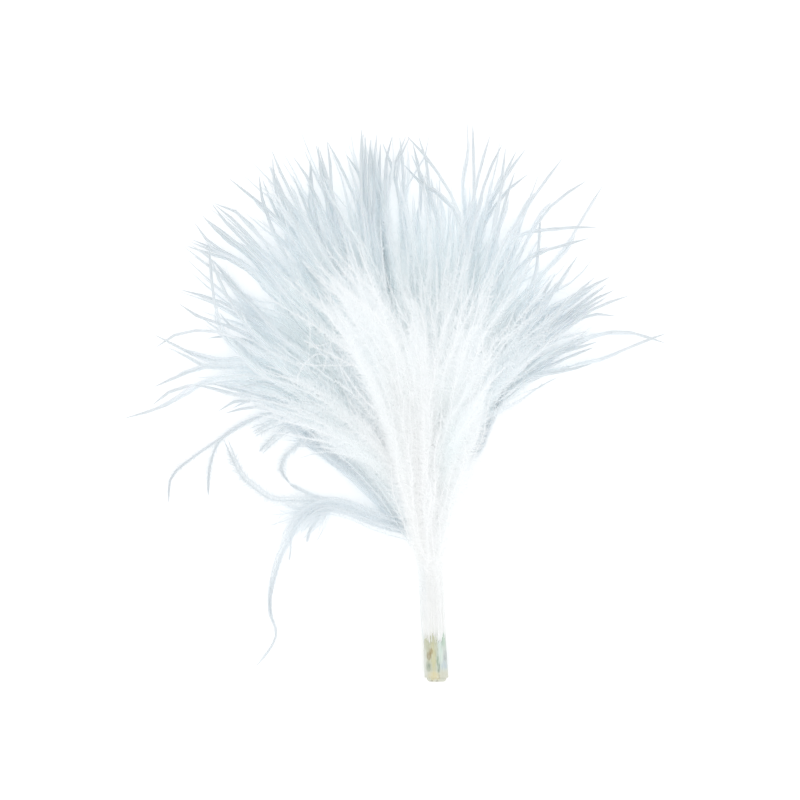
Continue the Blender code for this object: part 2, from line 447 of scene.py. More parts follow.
def growShaft(bundle, line, look, tone):
    line = evenly(line, barb["steps"] + 1)
    ahead, side, lift = frameAlong(line)
    shares = np.linspace(0, 1, len(line))
    radius = look["shaft"] + (look["tip"] - look["shaft"]) * shares
    radius[-1] *= barb["point"]
    sides = barb["corners"]
    start = np.arange(len(line) - 1)
    rings, faces = [], []
    for corner in range(sides):
        turn = math.pi / 2 + 2 * math.pi * corner / sides
        reach = side * math.cos(turn) + lift * math.sin(turn)
        rings.append(line + reach * radius[:, None])
        here = start + corner * len(line)
        there = start + (corner + 1) % sides * len(line)
        faces.append(np.stack([here, here + 1, there + 1], 1))
        faces.append(np.stack([here, there + 1, there], 1))
    along = np.tile(shadeAt(look, shares), sides)
    across = np.repeat(tone + barb["toneStep"] * (np.arange(sides) - 1), len(line))
    bundle.put(np.concatenate(rings), np.concatenate(faces), along, across)


def growBarbules(bundle, line, look, tone, dice):
    start, end = look["fluffFrom"], look["fluffTo"]
    number = int(2 * lengthAlong(line)[-1] * (end - start) / look["spacing"])
    if number < 2:
        return
    spread = ((np.arange(number) + dice.random(number)) / number) ** look.get("crowding", 1)
    shares = start + (end - start) * spread
    foot = readAt(line, shares)
    forward, sideways, upward = frameAt(line, shares)
    hand = np.where(np.arange(number) % 2, 1.0, -1.0)
    within = (shares - start) / (end - start)
    swell = np.minimum(1.0, look["rootShare"] + (1 - look["rootShare"]) * within / look["fullAt"])
    taper = np.minimum(1.0, (1.0 - within) / (1 - look["taperAt"]))
    size = swell * (barbules["least"] + (1 - barbules["least"]) * taper)
    reach = look["barbule"] * size * dice.uniform(*barbules["reach"], number)
    opened = barbules["leastSweep"] + (1 - barbules["leastSweep"]) * size
    sweep = np.radians(look["sweep"] * opened + dice.normal(0, look.get("stray", barbules["stray"]), number))
    roll = dice.normal(0, math.radians(look["roll"]), number)
    outward = swung(sideways * hand[:, None], upward, roll)
    tip = foot + swung(forward, outward, sweep) * reach[:, None]
    half = forward * (barbules["width"] / 2)
    points = aboveTable(np.concatenate([foot - half, foot + half, tip]), barb["clearance"])
    index = np.arange(number)
    faces = np.stack([index, index + number, index + 2 * number], 1)
    faces[hand > 0] = faces[hand > 0][:, ::-1]
    toneEach = tone + dice.normal(0, barbules["toneSpread"], number)
    along = shadeAt(look, np.concatenate([shares + more for more in barbules["alongMap"]]))
    bundle.put(points, faces, along, np.concatenate([toneEach + more for more in barbules["acrossMap"]]))


def growFloss(bundle, line, look, tone, dice):
    fullness = look.get("floss", 0)
    number = int(fullness * lengthAlong(line)[-1] * (floss["to"] - floss["from"]) / floss["spacing"])
    if number < 1:
        return
    shares = dice.uniform(floss["from"], floss["to"], number)
    foot = readAt(line, shares)
    forward, sideways, upward = frameAt(line, shares)
    sweep = np.radians(dice.normal(0, floss["sweep"], number))
    bent = sweep + np.radians(dice.normal(0, floss["bend"], number))
    outward = swung(sideways, upward, dice.uniform(*floss["roll"], number))
    reach = (floss["reach"] / 2 * dice.uniform(*floss["longer"], number))[:, None]
    aim = swung(forward, outward, sweep)
    middle = foot + aim * reach
    half = unit(np.cross(aim, (0.0, 0.0, 1.0))) * floss["width"] / 2
    end = middle + swung(forward, outward, bent) * reach
    points = np.concatenate([foot - half, foot + half, middle - half, middle + half, end])
    index = np.arange(number)
    left, right, upLeft, upRight, tip = (index + k * number for k in range(5))
    corners = ((left, right, upRight), (left, upRight, upLeft), (upLeft, upRight, tip))
    faces = np.concatenate([np.stack(three, 1) for three in corners])
    along = shadeAt(look, np.concatenate([shares + more for more in floss["alongMap"]]))
    across = np.concatenate([np.full(number, tone + more) for more in floss["acrossMap"]])
    bundle.put(aboveTable(points, barb["clearance"]), faces, along, across)


def growBarb(bundle, line, look, tone, dice):
    line = aboveTable(evenly(line, barb["samples"]), look["shaft"] + barb["clearance"])
    growShaft(bundle, line, look, tone)
    growBarbules(bundle, line, look, tone, dice)
    growFloss(bundle, line, look, tone, dice)


def makePiece(bundle):
    points = np.concatenate(bundle.points)
    faces = np.concatenate(bundle.faces)
    places = np.concatenate(bundle.places).clip(0.004, 0.996)
    mesh = bpy.data.meshes.new(bundle.name)
    mesh.vertices.add(len(points))
    mesh.vertices.foreach_set("co", points.astype(np.float32).ravel())
    mesh.loops.add(faces.size)
    mesh.loops.foreach_set("vertex_index", faces.astype(np.int32).ravel())
    mesh.polygons.add(len(faces))
    mesh.polygons.foreach_set("loop_start", np.arange(0, faces.size, 3, dtype=np.int32))
    mesh.update(calc_edges=True)
    mesh.shade_flat()
    layer = mesh.uv_layers.new(name="OFBake")
    layer.data.foreach_set("uv", places[faces.ravel()].astype(np.float32).ravel())
    mesh.materials.append(downMaterial)
    piece = bpy.data.objects.new(bundle.name, mesh)
    bpy.context.scene.collection.objects.link(piece)
    declare(piece)
    print(bundle.name, "has", len(faces), "triangles")


# the stem, where barbs lie pressed round the shaft

stem = {
    # distance up it in mm, half width and half depth as shares of its radius
    "profile": (
        (9.2, 0.99, 0.99), (11.0, 1.04, 1.04), (22.0, 0.97, 0.97), (31.0, 1.0, 0.98), (37.0, 1.28, 1.12),
        (42.5, 1.9, 1.4), (49.0, 2.6, 1.7), (58.0, 2.4, 1.5), (68.0, 0.7, 0.5),
    ),
    "radius": 2.8 * mm,
    "seed": 3, "barbs": 330, "rounds": 7, "samples": 12,
    # where barbs start and how long they are, in mm
    "early": (8.8, 11.5), "late": (12, 30), "length": (20, 34),
    "out": (0.86, 1), "twist": 0.25, "bulge": (0.9, 0.12), "narrows": 0.7,
    # painted light: the stem's barbs are toned white
    "tone": 0.9, "toneSpread": 0.1,
    "edgeTo": -0.95, "edgeShade": (0.5, 0.62), "edgeTone": 0.1,  # the left edge, with painted shade
    "look": {
        "shade": (0, 0.5), "shaft": 0.24 * mm, "tip": 0.1 * mm, "spacing": 0.9 * mm, "barbule": 1.3 * mm,
        "sweep": 16, "roll": 50, "fluffFrom": 0.05, "fluffTo": 0.98, "rootShare": 0.5, "fullAt": 0.4,
        "taperAt": 0.8,
    },
}
stemTable = np.array(stem["profile"])


def stemPlace(along, rank, level):
    # rank runs from -1 at its left edge to 1, level from -1 at its underside to 1
    here = along / mm
    halfWidth = np.interp(here, stemTable[:, 0], stemTable[:, 1]) * stem["radius"]
    halfDepth = np.interp(here, stemTable[:, 0], stemTable[:, 2]) * stem["radius"]
    return cutEnd + shaftPoint(along) + Vector((rank * halfWidth, 0, level * halfDepth))


def growStem():
    bundle = Bundle("stemBarbs")
    dice = np.random.default_rng(stem["seed"])
    slim, swell = stem["bulge"]
    for number in range(stem["barbs"]):
        turn = 2 * math.pi * (number + dice.random()) / stem["barbs"] * stem["rounds"]
        out = dice.uniform(*stem["out"])
        start = dice.uniform(*(stem["early"] if number % 5 < 3 else stem["late"]))
        end = start + dice.uniform(*stem["length"])
        twist = dice.normal(0, stem["twist"])
        line = []
        for share in np.linspace(0, 1, stem["samples"]):
            angle = turn + twist * share
            narrower = 1 - swell * max(0.0, share - stem["narrows"])
            bulge = out * (slim + swell * math.sin(math.pi * share)) * narrower
            along = (start + (end - start) * share) * mm
            line.append(stemPlace(along, math.cos(angle) * bulge, math.sin(angle) * bulge))
        look, tone = stem["look"], stem["tone"] + dice.normal(0, stem["toneSpread"])
        # painted shade on the stem's left edge
        if math.cos(turn) < stem["edgeTo"]:
            look, tone = {**look, "shade": stem["edgeShade"]}, stem["edgeTone"]
        growBarb(bundle, soften(np.array(line), 2), look, tone, dice)
    makePiece(bundle)


growStem()


# the fan's locks, on the routes that the solid has

throat = Vector((-2.8, 38.0, 0.0)) * mm
lock = {
    "width": 6.4 * mm, "thickness": 3.2 * mm, "seed": 11,
    "broad": (0.3, 1.5),  # shares of its width: at the root, and the gain along it
    "widthSpread": (0.85, 1.1), "rankSpread": 0.2,
    "tightness": 0.4,  # width and wander of one that keeps together
    "fullest": 0.96,  # share of its length beyond which there are always gaps
    "leftFrom": 8, "dimFrom": -10,  # degrees: the left piece's locks, and those with painted shade that grows to the right
    "shorter": (0.84, 0.98),  # length of the barbs beside a clump's first
    "grey": (0.84, 0.97),  # painted shade where the gaps start, and at the tip
    "usual": {  # lead is how far into the gaps a lock's first clump runs
        "each": 1, "lead": 0.15, "dim": 0, "denseTo": None, "shaded": -90, "shadedRoot": 0,
        "inward": (-90, 90), "tight": (-90, 90), "leading": (90, 90), "raised": (-90, 0),
    },
}
fluffy = {"roll": 50, "fluffFrom": 0.03, "rootShare": 0.12, "fullAt": 0.5}
rim = {
    "pieces": ("rimBarbsRight", "rimBarbsLeft"),
    "tips": (  # degrees from straight up the picture, left positive, and reach from the throat in mm
        (-47, 62), (-44.5, 52), (-42.5, 71), (-38.5, 70), (-35, 64), (-32.5, 76), (-30, 80), (-27.5, 88),
        (-24, 88), (-21.5, 84), (-19, 90), (-15.5, 86), (-12, 91), (-7.2, 94), (-4, 82), (-0.5, 90),
        (3, 84), (6, 91), (9, 93), (13, 88), (16.5, 92), (19.5, 86), (22.3, 94), (25.5, 88), (29, 92),
        (32.5, 86), (36, 89), (40, 86), (44, 82), (48, 79), (52, 72), (56, 77), (60, 66), (64, 72),
        (67.5, 68), (71.2, 74), (67, 50),
    ),
    "lowest": (0.0, 0.3, 0.9), "spread": (0.8, 1.6, 5.0), "width": 1.0, "drop": 6.0 * mm,
    "level": (-0.9, 0.0), "rankOver": 60,
    # by angle, how far from the throat in mm the fan has no gaps
    "denseTo": (
        (-50, -45, -42, -38, -30, -24, -20, -15, -10, -4, 3, 6, 9, 13, 18, 24, 28, 31, 35, 39, 43, 48, 53,
         60, 63, 66, 72),
        (52, 54, 62, 66, 60, 65, 72, 72, 80, 76, 76, 88, 90, 80, 78, 89, 80, 74, 74, 70, 69, 67, 58, 56, 46,
         38, 28),
    ),
    "clumps": 5, "each": 3, "apart": 0.9 * mm,
    "raised": (-40, 4),  # locks beyond this angle stand this many degrees higher than the solid's
    "inward": (-34, 56), "tight": (-38, 58), "tightClumps": 3,  # beyond these angles a lock keeps together
    "leading": (-14, 54),  # between these angles a lock's first clump runs to its tip
    "shaded": -34, "shadedRoot": 0.6,  # painted shade on the roots at the lower right
    # painted shade: the rim, under the crown and tuft, is toned greyer
    "tone": 0.4, "toneSpread": 0.07, "shortest": 0.8, "wander": 3.6 * mm, "curl": 0.4 * mm,
    "look": {
        **fluffy, "shaft": 0.24 * mm, "tip": 0.21 * mm, "spacing": 0.34 * mm, "barbule": 2.3 * mm,
        "sweep": 42, "roll": 34, "fluffTo": 0.96, "taperAt": 0.87, "crowding": 0.6, "stray": 13, "floss": 0.2,
    },
}
crown = {
    "pieces": ("crownBarbs",),
    "tips": (
        (-43, 50), (-41, 60), (-37, 62), (-33, 66), (-27, 72), (-21, 74), (-15, 78), (-9, 74), (-3, 78),
        (3, 74), (9, 78), (15, 76), (21, 76), (27, 70), (46, 64), (52, 60), (58, 60), (62, 50), (57, 36),
    ),
    "lowest": (5.5, 7.5, 5.0), "spread": (6.5, 8.0, 11.0), "width": 1.1, "drop": 4.0 * mm,
    "level": (-0.3, 0.6), "rankOver": 55,
    # painted shade on the roots at the lower right and darker to the right (dim); the crown is toned between
    # the rim and the tuft
    "shaded": -34, "shadedRoot": 0.4, "inward": (-36, 54), "raised": (-40, 5),
    "clumps": 13, "dim": 0.01, "tone": 0.6, "toneSpread": 0.09, "shortest": 0.55, "wander": 3 * mm,
    "curl": 0.5 * mm,
    "look": {
        **fluffy, "shaft": 0.16 * mm, "tip": 0.1 * mm, "spacing": 0.28 * mm, "barbule": 2.6 * mm,
        "sweep": 50, "roll": 45, "fluffTo": 0.96, "taperAt": 0.72, "crowding": 0.75, "stray": 20, "floss": 1,
    },
}
tuft = {
    "pieces": ("tuftBarbs",),
    "tips": ((-28, 48), (-21, 58), (-14, 64), (-7, 60), (0, 64), (7, 60), (14, 66), (20, 62), (25, 54)),
    "lowest": (13.0, 19.0, 14.0), "spread": (5.0, 9.0, 10.0), "width": 1.15, "drop": 1.0 * mm,
    "level": (0.4, 0.95), "rankOver": 32,
    # painted light: the tuft on top is toned whitest, with painted shade growing to the right (dim)
    "clumps": 26, "dim": 0.02, "tone": 0.84, "toneSpread": 0.1, "shortest": 0.4, "wander": 2.6 * mm,
    "curl": 0.6 * mm,
    "look": {
        **fluffy, "shaft": 0.13 * mm, "tip": 0.08 * mm, "spacing": 0.27 * mm, "barbule": 2.6 * mm,
        "sweep": 50, "fluffTo": 0.98, "taperAt": 0.7, "crowding": 0.8, "stray": 24, "floss": 1.6,
    },
}
partings = {
    "over": 8 * mm,  # length in which a gap opens
    # degrees, distance in mm from the throat where it opens, half its width in mm
    "gaps": (
        (64, 56, 2.2), (51.5, 55, 4.2), (37.4, 58, 3.4), (18.9, 72, 2.4), (15.2, 75, 2), (5.5, 77, 1.9),
        (0.6, 78, 2.2), (-15.4, 70, 2.2), (-26.5, 61, 1.8), (-31.5, 60, 1.2),
    ),
}
course = {  # of a lock or wisp from the shaft
    "upright": (0.28, 0.46),  # shares of its angle that it starts with, right and left
    "bend": 1.42,  # share of its angle that it ends with
    "reach": (0.45, 0.33),  # of its two handles
    "samples": 24, "dropOver": 70,
    "start": (0, 5), "sway": (-3, 3), "flick": (-12, 12),
    "lowest": 0.35, "highest": 0.92,  # root of a barb, as a share of the way to where its lock starts
    "fade": 2.5, "below": 7, "smoothing": 3,
}
wave = {  # of a barb along its route
    "ripple": (4, 9), "rippleSize": 0.4, "late": 2.5, "phase": (0, 6), "crimpSoon": 3, "upward": 0.5,
}
near = {"late": 0.7, "wander": 0.6, "curl": 0.3 * mm}  # for a barb close beside another


def direction(degrees):
    angle = math.radians(degrees)
    return Vector((-math.sin(angle), math.cos(angle), 0.0))


def parted(line):
    # bends a barb aside where the fan has a gap
    for angle, opens, wide in partings["gaps"]:
        ahead, side = np.array(direction(angle)), np.array(direction(angle - 90))
        away = line - np.array(cutEnd + throat)
        share = ((away @ ahead - opens * mm) / partings["over"]).clip(0, 1)
        hand = 1 if away[-1] @ side > 0 else -1
        across = away @ side * hand
        pushed = (across + np.sqrt(across**2 + (2 * wide * mm) ** 2)) / 2
        line = line + side * (hand * share * (pushed - across))[:, None]
    return line


def leaveShaft(angle, drop, later, sway, tip):
    # the start of a route to the tip and its first handle
    start = shaftPoint(throat.y - drop * abs(angle) / course["dropOver"] + later * mm)
    upright = course["upright"][angle > 0]
    return start, start + direction(upright * angle + sway) * (course["reach"][0] * (tip - start).length)


def fanRoute(angle, reach, heights, drop, chance):
    tip = throat + direction(angle) * reach
    later, sway = chance.uniform(*course["start"]), chance.uniform(*course["sway"])
    start, first = leaveShaft(angle, drop, later, sway, tip)
    bend = direction(course["bend"] * angle + chance.uniform(*course["flick"]))
    second = tip - bend * (course["reach"][1] * (tip - start).length)
    first.z, second.z, tip.z = (height * mm for height in heights)
    line = interpolate_bezier(start, first, second, tip, course["samples"])
    return np.array([cutEnd + Vector(point) for point in line])


def wavy(line, size, curl, dice):
    # a barb's own wander from the lock's route, nothing at the root and most at the tip
    ahead, side, lift = frameAlong(line)
    shares = np.linspace(0, 1, len(line))
    along = lengthAlong(line)
    for across, amount in ((side, 1.0), (lift, wave["upward"])):
        ripple = np.sin(shares * dice.uniform(*wave["ripple"]) + dice.uniform(*wave["phase"])) * shares
        bow = dice.normal(0, 1) * shares ** wave["late"] + dice.normal(0, wave["rippleSize"]) * ripple
        turns = 2 * math.pi / dice.uniform(barb["curlFrom"], barb["curlTo"])
        begun = np.minimum(1, wave["crimpSoon"] * shares)
        crimp = np.sin(along * turns + dice.uniform(*wave["phase"])) * begun
        line = line + across * (amount * (size * bow + curl * crimp))[:, None]
    return line


def gathered(line, apart, dice):
    # a barb beside another that meets it at the tip
    ahead, side, lift = frameAlong(line)
    fade = ((1 - np.linspace(0, 1, len(line))) ** near["late"])[:, None]
    line = line + (side * dice.normal(0, apart) + lift * dice.normal(0, apart / 2)) * fade
    return wavy(line, near["wander"] * apart, near["curl"], dice)


def fromStem(line, rank, level, low, dice):
    # joins a barb to the place where it leaves the shaft, lower down among the stem's barbs
    start = line[0][1] - cutEnd.y
    root = dice.uniform(low, course["highest"]) * start
    level = min(max(level, -1), 1) * math.sqrt(max(0.0, 1 - rank * rank))
    heights = np.linspace(root, start, course["below"])
    below = np.array([stemPlace(along, rank, level) for along in heights])
    shift = below[-1] - line[0]
    fade = (1 - np.linspace(0, 1, len(line)))[:, None] ** course["fade"]
    joined = np.concatenate([below[:-1], line + shift * fade])
    return soften(evenly(joined, barb["samples"]), course["smoothing"])


def growLock(bundle, route, angle, reach, group, width, dice):
    ahead, side, lift = frameAlong(route)
    thin, opens = lock["broad"]
    swell = np.minimum(1.0, thin + opens * np.linspace(0, 1, len(route))) * width / 2
    dense = 0
    if group["denseTo"]:
        dense = min(lock["fullest"], np.interp(angle, *group["denseTo"]) / reach)
    clumps, wander = group["clumps"], group["wander"]
    if not group["tight"][0] < angle < group["tight"][1]:
        clumps = group["tightClumps"]
        wander, swell = lock["tightness"] * wander, lock["tightness"] * swell
    # painted shade: greyer roots at the lower right, darker tones to the right
    root = group["shadedRoot"] if angle < group["shaded"] else 0
    tone = group["tone"] + group["dim"] * min(0, angle - lock["dimFrom"])
    lead = 1.0 if group["leading"][0] < angle < group["leading"][1] else group["lead"]
    for clump in range(clumps):
        turn, out = dice.uniform(0, 2 * math.pi), math.sqrt(dice.random())
        across = math.cos(turn) * out * lock["width"]
        above = math.sin(turn) * out * lock["thickness"]
        if not group["inward"][0] < angle < group["inward"][1]:
            across = math.copysign(across, angle)
        middle = route + side * (across * swell)[:, None] + lift * (above * swell)[:, None]
        middle = wavy(evenly(middle, barb["samples"]), wander, group["curl"], dice)
        far = dice.uniform(group["shortest"], 1.0)
        if dense:
            far = dense + (1 - dense) * (lead if clump == 0 else dice.random() ** 3)
        middle = stretch(middle, 0, far)
        for number in range(group["each"]):
            line, end = middle, 1.0
            if number:
                line = gathered(middle, group["apart"], dice)
                end = dice.uniform(*lock["shorter"])
                line = stretch(line, 0, end)
            rank = min(max(-angle / group["rankOver"] + dice.normal(0, lock["rankSpread"]), -0.97), 0.97)
            line = parted(fromStem(line, rank, dice.uniform(*group["level"]), course["lowest"], dice))
            # painted shade: greyer where the fan's gaps start and toward the tips
            shade = {"shade": (root, max(root, far))}
            if dense:
                spots = (0, dense / (far * end), 1 / (far * end))
                shade = {"shadeFrom": spots, "shade": (root, *lock["grey"])}
            ownTone = tone + dice.normal(0, group["toneSpread"])
            growBarb(bundle, line, {**group["look"], **shade}, ownTone, dice)


def growFan():
    chance = random.Random(lock["seed"])
    dice = np.random.default_rng(lock["seed"])
    for own in (rim, crown, tuft):
        group = {**lock["usual"], **own}
        bundles = [Bundle(name) for name in group["pieces"]]
        beyond, higher = group["raised"]
        for angle, reach in group["tips"]:
            if angle < beyond:
                angle += higher
            rise = chance.random()
            heights = [low + more * rise for low, more in zip(group["lowest"], group["spread"])]
            route = fanRoute(angle, reach * mm, heights, group["drop"], chance)
            width = group["width"] * chance.uniform(*lock["widthSpread"])
            bundle = bundles[-1] if angle > lock["leftFrom"] else bundles[0]
            growLock(bundle, route, angle, reach, group, width, dice)
        for bundle in bundles:
            makePiece(bundle)


growFan()


# the wisps that stand out of the fan, each given one by one: (x, y) in mm from the cut end, the tip last

wispPlaces = (
    # across the top and upper left
    ((-17.9, 113.3), (-17.7, 129.8)), ((-16.8, 113.3), (-16.8, 128.1)),
    ((-14.1, 116.3), (-14.8, 123.1), (-14.1, 128.8)), ((-12.3, 117.3), (-12.1, 123.1), (-10.5, 128.1)),
    ((-11.6, 118.7), (-9.6, 122.2), (-7.3, 128.3)), ((-8, 110), (-10.1, 119), (-9.2, 123.1), (-6.4, 128.1)),
    ((-2.2, 110.4), (-1.5, 117.3), (-2, 121.7), (-4.2, 128.1)),
    ((5.6, 110.9), (2.6, 115.9), (-2.4, 123.6), (-6.9, 128.1)),
    ((3.1, 113.7), (-3.8, 116.8), (-7.8, 121.7)), ((-16.7, 113.3), (-18.1, 120.8), (-21.3, 124.1)),
    ((-24.9, 115.4), (-24.9, 122.2), (-25.8, 127.1)), ((-18.7, 112.8), (-22.1, 120.3), (-25.6, 126.9)),
    ((-24.9, 114.9), (-27.1, 120.8), (-28.4, 126.2)), ((-30.3, 113.7), (-29.4, 118.2), (-29.8, 122.9)),
    ((-26.7, 109.5), (-29.8, 118.2), (-33.8, 123.6)), ((-33.8, 114.4), (-36.7, 119.4), (-38.8, 124.9)),
    ((-35.2, 113.3), (-38.3, 118.2), (-39.5, 121.3)), ((-38.8, 110.9), (-43.7, 114.1), (-48.6, 118.2)),
    ((-37.8, 105), (-41.1, 112.8), (-41.8, 119)), ((-43.2, 107.4), (-45.6, 110.4), (-52.4, 112.6)),
    ((-44.6, 103.4), (-50.1, 108.3), (-52.8, 112.3)),
    ((-37.4, 92), (-45.6, 99.4), (-51.5, 101.5), (-55.5, 105), (-56.9, 107.9)),
    ((-36.8, 93), (-45.6, 101.5), (-51.5, 105.5), (-55.2, 109.7)),
    ((-38, 91.6), (-46.6, 99.6), (-54, 101.5), (-58, 103.5)),
    ((-38.4, 91), (-46.6, 98.8), (-55, 101), (-58.8, 102.5)),
    ((-42.4, 87), (-48.6, 94), (-53.6, 98), (-57.1, 100.1)),
    ((-50.5, 83.4), (-52.4, 90.2), (-52.9, 94.7), (-53.6, 102.9)),
    ((-45.6, 84.8), (-50.5, 92.9), (-53.1, 99.6)),
    ((-39.7, 85.3), (-42.8, 88.8), (-48.6, 93.8), (-51.9, 98)), ((-41.4, 86.4), (-46.4, 91.2), (-50, 96)),
    ((-48.6, 88.8), (-52.8, 90.2), (-59.9, 92.1)), ((-29.8, 109.7), (-31.7, 114.1), (-33.8, 119)),
    ((-9.6, 118), (-11.3, 124.1), (-12.7, 126.7)), ((-7.8, 118), (-8.2, 124.5), (-8.7, 128.1)),
    ((-17.2, 112), (-17.6, 121), (-17.4, 128.8)), ((-16, 113), (-15.9, 121), (-15.6, 127.4)),
    ((-15, 112), (-14.6, 120), (-15.6, 126)), ((-13.4, 114), (-13.6, 121), (-13.2, 126.5)),
    ((-34, 107), (-37, 115), (-39.2, 121.5)), ((-36, 108), (-38, 115), (-38.6, 123)),
    ((-35, 105), (-38.6, 112), (-41, 118)), ((-33, 108), (-36, 114), (-38, 119.5)),
    ((-23.5, 112), (-26, 119), (-27.5, 125)), ((-25.5, 112), (-27.3, 119), (-27.9, 126)),
    ((-29, 112), (-29.5, 118), (-29.6, 122)), ((-43, 104), (-48, 109), (-52, 112)),
    ((-37, 93), (-44, 101), (-50, 105.5), (-54.5, 109)),
    ((-37.8, 91.4), (-46, 99), (-52, 101.6), (-57.5, 104)), ((-4, 111), (-3.6, 118), (-5.6, 126.5)),
    ((0, 110), (-2.6, 117), (-6, 124)),
    # on the right
    ((9, 115.4), (8.7, 120.8), (8.5, 131)), ((9.3, 117.3), (9.9, 119.8), (12.5, 128.3)),
    ((10.6, 115.4), (12, 119.8), (15.3, 126.2)), ((15, 114.1), (15.3, 118.7), (16.2, 125.5)),
    ((12.5, 112.3), (16.4, 119.4), (20.9, 125.3)), ((12.5, 110.9), (16.4, 115.9), (21.4, 119.4)),
    ((15, 108.7), (16.4, 114.4), (18.3, 119.8)), ((17.9, 106.9), (23.7, 115.4), (29.4, 122.9)),
    ((22.8, 106.9), (26.8, 112.3), (35, 117.7)), ((24.7, 96.6), (30.3, 102), (33.6, 107.9), (39, 116.6)),
    ((18.3, 105.5), (30, 106.9), (37.6, 106.9)), ((22.8, 101), (30.8, 102.9), (35.7, 104.3)),
    ((26.3, 90.2), (30.3, 96.1), (33.1, 100.1)), ((22.8, 87.2), (25.8, 92.6), (28, 96.1)),
    ((27.3, 88), (34.5, 92.1), (40.7, 95.2)), ((30, 86.2), (35.4, 90.2), (39.2, 92.6)),
    ((33.1, 85.8), (39, 88.8), (44.9, 90.7)), ((31.7, 84.8), (36.2, 86.9), (42.1, 86)),
    ((25.4, 77.3), (31.7, 79.9), (39, 82.2), (45.7, 82.5), (49.8, 80.8), (53.6, 79.7)),
    ((24.7, 73.2), (33.6, 74.5), (41.6, 77), (47.5, 79.6), (53.8, 81.9)),
    ((25.4, 76.4), (33.1, 78.5), (37.6, 79.9)), ((19.3, 70), (24.2, 71.4)),
    ((23.7, 98), (24, 102.9), (24.4, 110)), ((28, 84), (34, 89), (40, 93.5)),
    ((29, 83), (35, 87.5), (40, 90.5)), ((27, 86), (32, 90.5), (37, 95)),
    ((30, 85), (36, 89.5), (41.5, 92)), ((14.4, 112), (15.8, 119), (18.6, 124.6)),
    ((22.5, 73.9), (31.5, 78.6), (37.5, 81.3)), ((23.5, 72.8), (30, 76), (36.8, 78.6)),
    ((22.8, 72), (30, 73), (36.3, 74.8)), ((23, 75), (29, 78), (34.5, 81)),
    # on the left
    ((-45.8, 83.2), (-52.6, 84.6), (-57.6, 86.2), (-60.4, 88.8)),
    ((-43.7, 79.8), (-47.5, 81.7), (-52.6, 82.7), (-59, 82.7), (-63.4, 81.1), (-65.8, 78.7)),
    ((-43.7, 76.4), (-53.1, 75), (-57.6, 77.1), (-62, 79.4), (-66.2, 81.5)),
    ((-45.8, 74.6), (-52.6, 74.3), (-57.6, 73.3), (-62, 71.4), (-66.5, 69.4)),
    ((-47.5, 70.5), (-56.9, 69.8), (-59.7, 69.8), (-63, 68.4), (-66.2, 66.7), (-66.7, 65.3)),
    ((-42.3, 71.4), (-48.2, 72.1), (-51.9, 71.9), (-57.6, 68.4), (-62.3, 65.3), (-67.2, 63.7), (-73.3, 62)),
    ((-40.7, 66.3), (-47.5, 67.7), (-52.6, 69.1), (-56.9, 69.8)), ((-39, 70.5), (-42.3, 70), (-47.5, 69.1)),
    ((-40.7, 66.3), (-45.8, 66.7), (-49.3, 65.6), (-51.3, 63.7)),
    ((-47.5, 81.7), (-51.9, 81.7), (-53.8, 80.8)), ((-44.2, 76.4), (-45.8, 77.8), (-48.2, 80.8)),
    ((-45.8, 82.5), (-50.3, 84.2), (-51, 86.7)), ((-38, 66.2), (-43.4, 66.6), (-48, 64.4)),
    ((-39, 67), (-46, 68.4), (-52.5, 70)), ((-38.5, 64.4), (-43.5, 64.8), (-49.5, 63.2)),
)
wisps = {
    "seed": 5, "samples": 16, "rounding": 6,
    "heights": (1.2, 6.5), "rise": (-1, 2.5),  # in mm, where a wisp comes out of the fan and from there
    "drop": 5 * mm, "start": (0, 4), "rankOver": 60, "level": (-0.9, 0.1),
    # painted shade: wisps are toned darker than the fan, greyest where they stand out of it
    "tone": 0.2, "toneSpread": 0.1,
    "companions": 2, "apart": 0.8 * mm, "from": 0.55, "to": (0.76, 0.95),  # shorter barbs beside each
    "beside": {"shadeFrom": (0, 1), "shade": (0.6, 0.88)},
    "naked": 4.5 * mm, "nakedSpread": (0.6, 1.4), "overlap": 0.04,  # of the tip
    "look": {
        "shadeFrom": (0, 0.75, 0.86, 1), "shade": (0, 0.7, 0.9, 0.96),
        **fluffy, "shaft": 0.36 * mm, "tip": 0.4 * mm, "spacing": 0.25 * mm, "barbule": 2.1 * mm, "sweep": 40,
        "roll": 35, "fluffTo": 0.9, "taperAt": 0.8,
    },
    "fringe": {  # short barbules on the tip
        "spacing": 0.2 * mm, "barbule": 1.15 * mm, "sweep": 24, "roll": 50, "fluffTo": 0.99, "rootShare": 1,
        "fullAt": 1, "taperAt": 0.7,
    },
}


def throughPoints(points):
    # a rounded line through given points
    ends = [points[0]] + points + [points[-1]]
    made = []
    for before, start, end, after in zip(ends, ends[1:], ends[2:], ends[3:]):
        first = start + (end - before) / 6
        second = end - (after - start) / 6
        bow = interpolate_bezier(start, first, second, end, wisps["rounding"])
        made += [Vector(point) for point in bow[:-1]]
    return made + [points[-1]]


def wispRoute(places, dice):
    height, rise = dice.uniform(*wisps["heights"]), dice.uniform(*wisps["rise"])
    count = len(places)
    points = [Vector((x, y, height + rise * i / count)) * mm for i, (x, y) in enumerate(places)]
    away = points[0] - throat
    angle = math.degrees(math.atan2(-away.x, away.y))
    start, first = leaveShaft(angle, wisps["drop"], dice.uniform(*wisps["start"]), 0, points[0])
    heading = (points[1] - points[0]).normalized()
    reach = course["reach"][1] * (points[0] - start).length
    second = points[0] - (heading + away.normalized()).normalized() * reach
    first.z = second.z = height * mm
    line = [Vector(point) for point in interpolate_bezier(start, first, second, points[0], wisps["samples"])]
    line += throughPoints(points)[1:]
    return np.array([cutEnd + point for point in line]), angle


